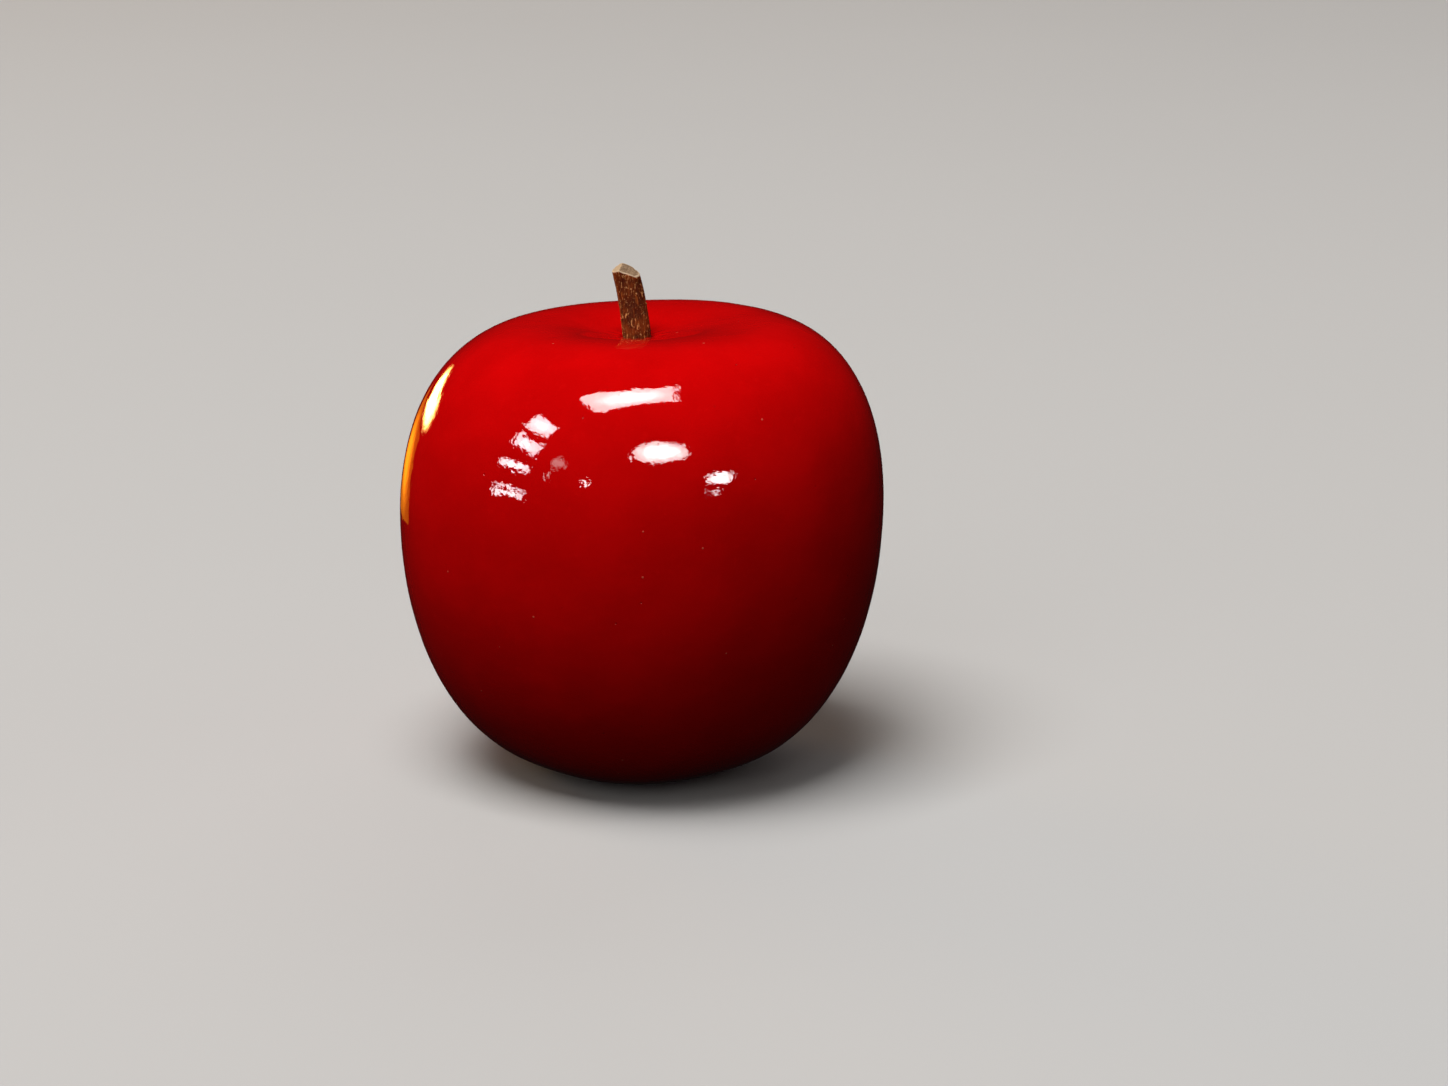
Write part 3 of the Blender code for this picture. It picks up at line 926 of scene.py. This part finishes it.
def bark_material():
    """The dry stem, with bark on its side and bare wood on its cut end."""
    material, tree, shader = new_material("stem_bark")
    long_place = place_in(tree, stretch=BARK_FIBRE_STRETCH)
    streak_place = place_in(tree, stretch=BARK_STREAK_STRETCH)
    slanting_place = place_in(tree, stretch=BARK_FLECK_STRETCH, turn=(0, BARK_FLECK_SLANT, 0))
    fibres = noise_in(tree, long_place, BARK_FIBRE_SIZE, detail=4, roughness=0.65)
    streaks = noise_in(tree, streak_place, BARK_STREAK_SIZE, detail=3, roughness=0.6)
    flecks = remap(tree, noise_in(tree, slanting_place, BARK_FLECK_SIZE, detail=2), 0.63, 0.69)
    pores = noise_in(tree, place_in(tree), WOOD_PORE_SIZE, detail=4, roughness=0.75)

    on_cut = add_node(tree, "Attribute", attribute_name="on_cut").outputs["Fac"]
    color = mix_colors(tree, on_cut, bark_color(tree, fibres, streaks, flecks), wood_color(tree, pores))
    tree.links.new(color, shader.inputs["Base Color"])
    tree.links.new(remap(tree, fibres, 0.3, 0.7, 0.55, 0.85), shader.inputs["Roughness"])
    shader.inputs["Specular IOR Level"].default_value = BARK_SPECULAR
    reliefs = [
        (fibres, BARK_FIBRE_DEPTH),
        (streaks, BARK_STREAK_DEPTH),
        (pores, WOOD_PORE_DEPTH),
        (flecks, BARK_FLECK_DEPTH),
    ]
    add_bump(tree, shader, reliefs)
    return material


def dried_material(name, dark, light, size):
    """Withered plant matter, streaked along its length."""
    material, tree, shader = new_material(name)
    streak_place = place_in(tree, stretch=DRIED_STREAK_STRETCH)
    streaks = noise_in(tree, streak_place, size, detail=4, roughness=0.6)
    patches = noise_in(tree, place_in(tree), size * DRIED_PATCH_SIZE, detail=2)
    color = mix_colors(tree, remap(tree, streaks, 0.35, 0.7), dark, light)
    color = mix_colors(tree, remap(tree, patches, 0.45, 0.7, 0, 0.6), color, dark)
    tree.links.new(color, shader.inputs["Base Color"])
    tree.links.new(remap(tree, streaks, 0.3, 0.7, 0.6, 0.9), shader.inputs["Roughness"])
    shader.inputs["Specular IOR Level"].default_value = DRIED_SPECULAR
    add_bump(tree, shader, [(streaks, size * DRIED_STREAK_DEPTH)])
    return material


def floor_material():
    """A matt, pale, faintly clouded floor."""
    material, tree, shader = new_material("floor")
    clouds = noise_in(tree, place_in(tree), FLOOR_CLOUD_SIZE, detail=3)
    darker = [FLOOR_VARIATION * part for part in FLOOR_SHADE]
    tree.links.new(mix_colors(tree, clouds, darker, FLOOR_SHADE), shader.inputs["Base Color"])
    shader.inputs["Roughness"].default_value = FLOOR_ROUGHNESS
    shader.inputs["Specular IOR Level"].default_value = 0
    return material


# Studio

def add_floor():
    """The floor takes shadows, but isn't mirrored in the apple and throws no light back on it."""
    mesh = bpy.data.meshes.new("floor")
    signs = ((-1, -1), (1, -1), (1, 1), (-1, 1))
    corners = [(x * FLOOR_HALF_WIDTH, y * FLOOR_HALF_WIDTH, -FLOOR_DROP) for x, y in signs]
    mesh.from_pydata(corners, [], [(0, 1, 2, 3)])
    mesh.materials.append(floor_material())
    floor = bpy.data.objects.new("floor", mesh)
    floor.visible_glossy = False
    floor.visible_diffuse = False
    bpy.context.scene.collection.objects.link(floor)


def direction(azimuth, elevation):
    """A unit vector. Azimuth 0 points to the front, -Y, and 90 to +X, in degrees."""
    azimuth, elevation = math.radians(azimuth), math.radians(elevation)
    level = math.cos(elevation)
    return Vector((math.sin(azimuth) * level, -math.cos(azimuth) * level, math.sin(elevation)))


def add_light(name, azimuth, elevation, width, height, radiance, color, distance, roll=0, rounded=False):
    """An area light that faces the apple.

    Its azimuth, elevation, width, height and roll are angles as seen from the apple, in degrees.
    """
    light = bpy.data.lights.new(name, "AREA")
    light.shape = "ELLIPSE" if rounded else "RECTANGLE"
    light.size = 2 * distance * math.tan(math.radians(width) / 2)
    light.size_y = 2 * distance * math.tan(math.radians(height) / 2)
    light.energy = radiance * math.pi * light.size * light.size_y
    light.color = color
    box = bpy.data.objects.new(name, light)
    towards = direction(azimuth, elevation)
    box.location = Vector((0, 0, LIT_HEIGHT)) + towards * distance
    box.rotation_euler = towards.to_track_quat("Z", "Y").to_euler()
    box.rotation_euler.rotate_axis("Z", math.radians(roll))
    box.visible_camera = False
    bpy.context.scene.collection.objects.link(box)
    return box


def add_highlight(name, azimuth, elevation, width, height, radiance, color=LIGHT_WHITE, edge=0.5,
                  distance=HIGHLIGHT_DISTANCE, **shape):
    """A softbox that shows only in the gloss.

    It is brightest in its middle, and edge is the share of that left at its rim.
    """
    box = add_light(name, azimuth, elevation, width, height, radiance, color, distance, **shape)
    box.visible_diffuse = False
    box.data.use_nodes = True
    tree = box.data.node_tree
    across = add_node(tree, "NewGeometry").outputs["Parametric"]
    from_middle = {0: across, 1: (0.5, 0.5, 0)}
    off_middle = add_node(tree, "VectorMath", from_middle, operation="DISTANCE").outputs["Value"]
    strength = remap(tree, off_middle, BRIGHT_CORE, 0.5, 1, edge)
    tree.links.new(strength, tree.nodes["Emission"].inputs["Strength"])


def add_wide_light(name, azimuth, elevation, spread, radiance, color=LIGHT_WHITE):
    """A big soft light that shades the apple and the floor but isn't mirrored in the gloss."""
    box = add_light(name, azimuth, elevation, spread, spread, radiance, color, WIDE_LIGHT_DISTANCE)
    box.visible_glossy = False


def add_wide_lights():
    """The lights that shade the apple and the floor."""
    add_wide_light("key_light", -38, 71, 34, radiance=11.4)
    add_wide_light("front_light", -24, 30, 34, radiance=1.7)
    add_wide_light("right_fill", 80, 14, 50, radiance=0.4)
    add_wide_light("left_fill", -120, 14, 50, radiance=0.3)
    add_wide_light("back_light", 170, 28, 50, radiance=0.9)
    add_wide_light("warm_rim_light", -138, 8, 24, radiance=5, color=LIGHT_WARM)


def add_highlights():
    """The lights that are mirrored in the skin: softboxes, a window, small lamps and a warm lamp behind."""
    add_highlight("overhead_softbox", -22.5, 76, 35, 16.5, radiance=34, roll=34.5)
    add_highlight("front_softbox", 11.5, 32.5, 28.5, 13, radiance=30, edge=0.4, rounded=True)
    add_highlight("right_softbox", 40.5, 15, 14, 5, radiance=30, rounded=True)
    add_highlight("right_slit", 36.5, 9.5, 6.5, 1, radiance=24)
    for number, (*pane, roll) in enumerate(WINDOW_PANES, 1):
        add_highlight(f"window_pane_{number}", *pane, radiance=32, color=LIGHT_COOL, edge=0.6, roll=roll)
    add_highlight("far_softbox", -44, 22.5, 9.5, 7.5, radiance=4, edge=0.3, rounded=True)
    add_highlight("far_lamp", -48, 16, 3, 4, radiance=7, rounded=True)
    add_highlight("small_lamp", -28.5, 16, 6.5, 1.5, radiance=24, rounded=True)
    warm = {"color": LIGHT_WARM, "edge": 0.02, "rounded": True}
    add_highlight("warm_softbox", -144, 6, 26, 11.5, radiance=60, **warm)
    ember = {"color": LIGHT_EMBER, "edge": 0.2, "distance": WARM_PANEL_DISTANCE}
    add_highlight("warm_panel", -142, -5, 22.5, 16, radiance=4, **ember)


def add_world():
    """A dark room to the light, and a pale backdrop to the camera."""
    world = bpy.data.worlds.new("studio")
    world.use_nodes = True
    tree = world.node_tree
    seen = add_node(tree, "LightPath").outputs["Is Camera Ray"]
    shade = mix_colors(tree, seen, WORLD_SHADE, BACKDROP_SHADE)
    tree.links.new(shade, tree.nodes["Background"].inputs["Color"])
    bpy.context.scene.world = world


def add_camera():
    """A long lens that looks down a little, with the apple left of the middle of the picture."""
    low, high = cad_bounds
    middle = (low + high) / 2
    aim = middle + Vector((APPLE_LEFT_OF_FRAME, 0, -APPLE_ABOVE_FRAME))
    aim.y = 0
    data = bpy.data.cameras.new("camera")
    data.lens = LENS_MM
    camera = bpy.data.objects.new("camera", data)
    back = Vector((0, -math.cos(CAMERA_PITCH), math.sin(CAMERA_PITCH)))
    camera.location = aim + back * CAMERA_DISTANCE
    camera.rotation_euler = (math.pi / 2 - CAMERA_PITCH, 0, 0)
    bpy.context.scene.collection.objects.link(camera)
    bpy.context.scene.camera = camera
    bpy.context.scene.view_settings.view_transform = "Standard"


def build_apple():
    """Adds every piece. The sepals and stamens share one run of random numbers."""
    rng = random.Random(RANDOM_SEED)
    add_piece("apple_fruit", fruit_mesh(), skin_material(), "fruit")
    add_piece("apple_stem", stem_mesh(), bark_material(), "stem")
    sepal_look = dried_material("dried_sepal", SEPAL_DARK, SEPAL_LIGHT, SEPAL_STREAK_SIZE)
    for number in range(1, LOBES + 1):
        mesh = sepal_mesh(number, rng)
        add_piece(f"apple_sepal_{number}", mesh, sepal_look, f"sepal_{number}")
    stamen_look = dried_material("dried_stamens", STAMEN_DARK, STAMEN_LIGHT, STAMEN_STREAK_SIZE)
    add_piece("apple_stamens", stamens_mesh(rng), stamen_look, "stamen_tuft")


add_camera()
add_floor()
add_wide_lights()
add_highlights()
add_world()
build_apple()
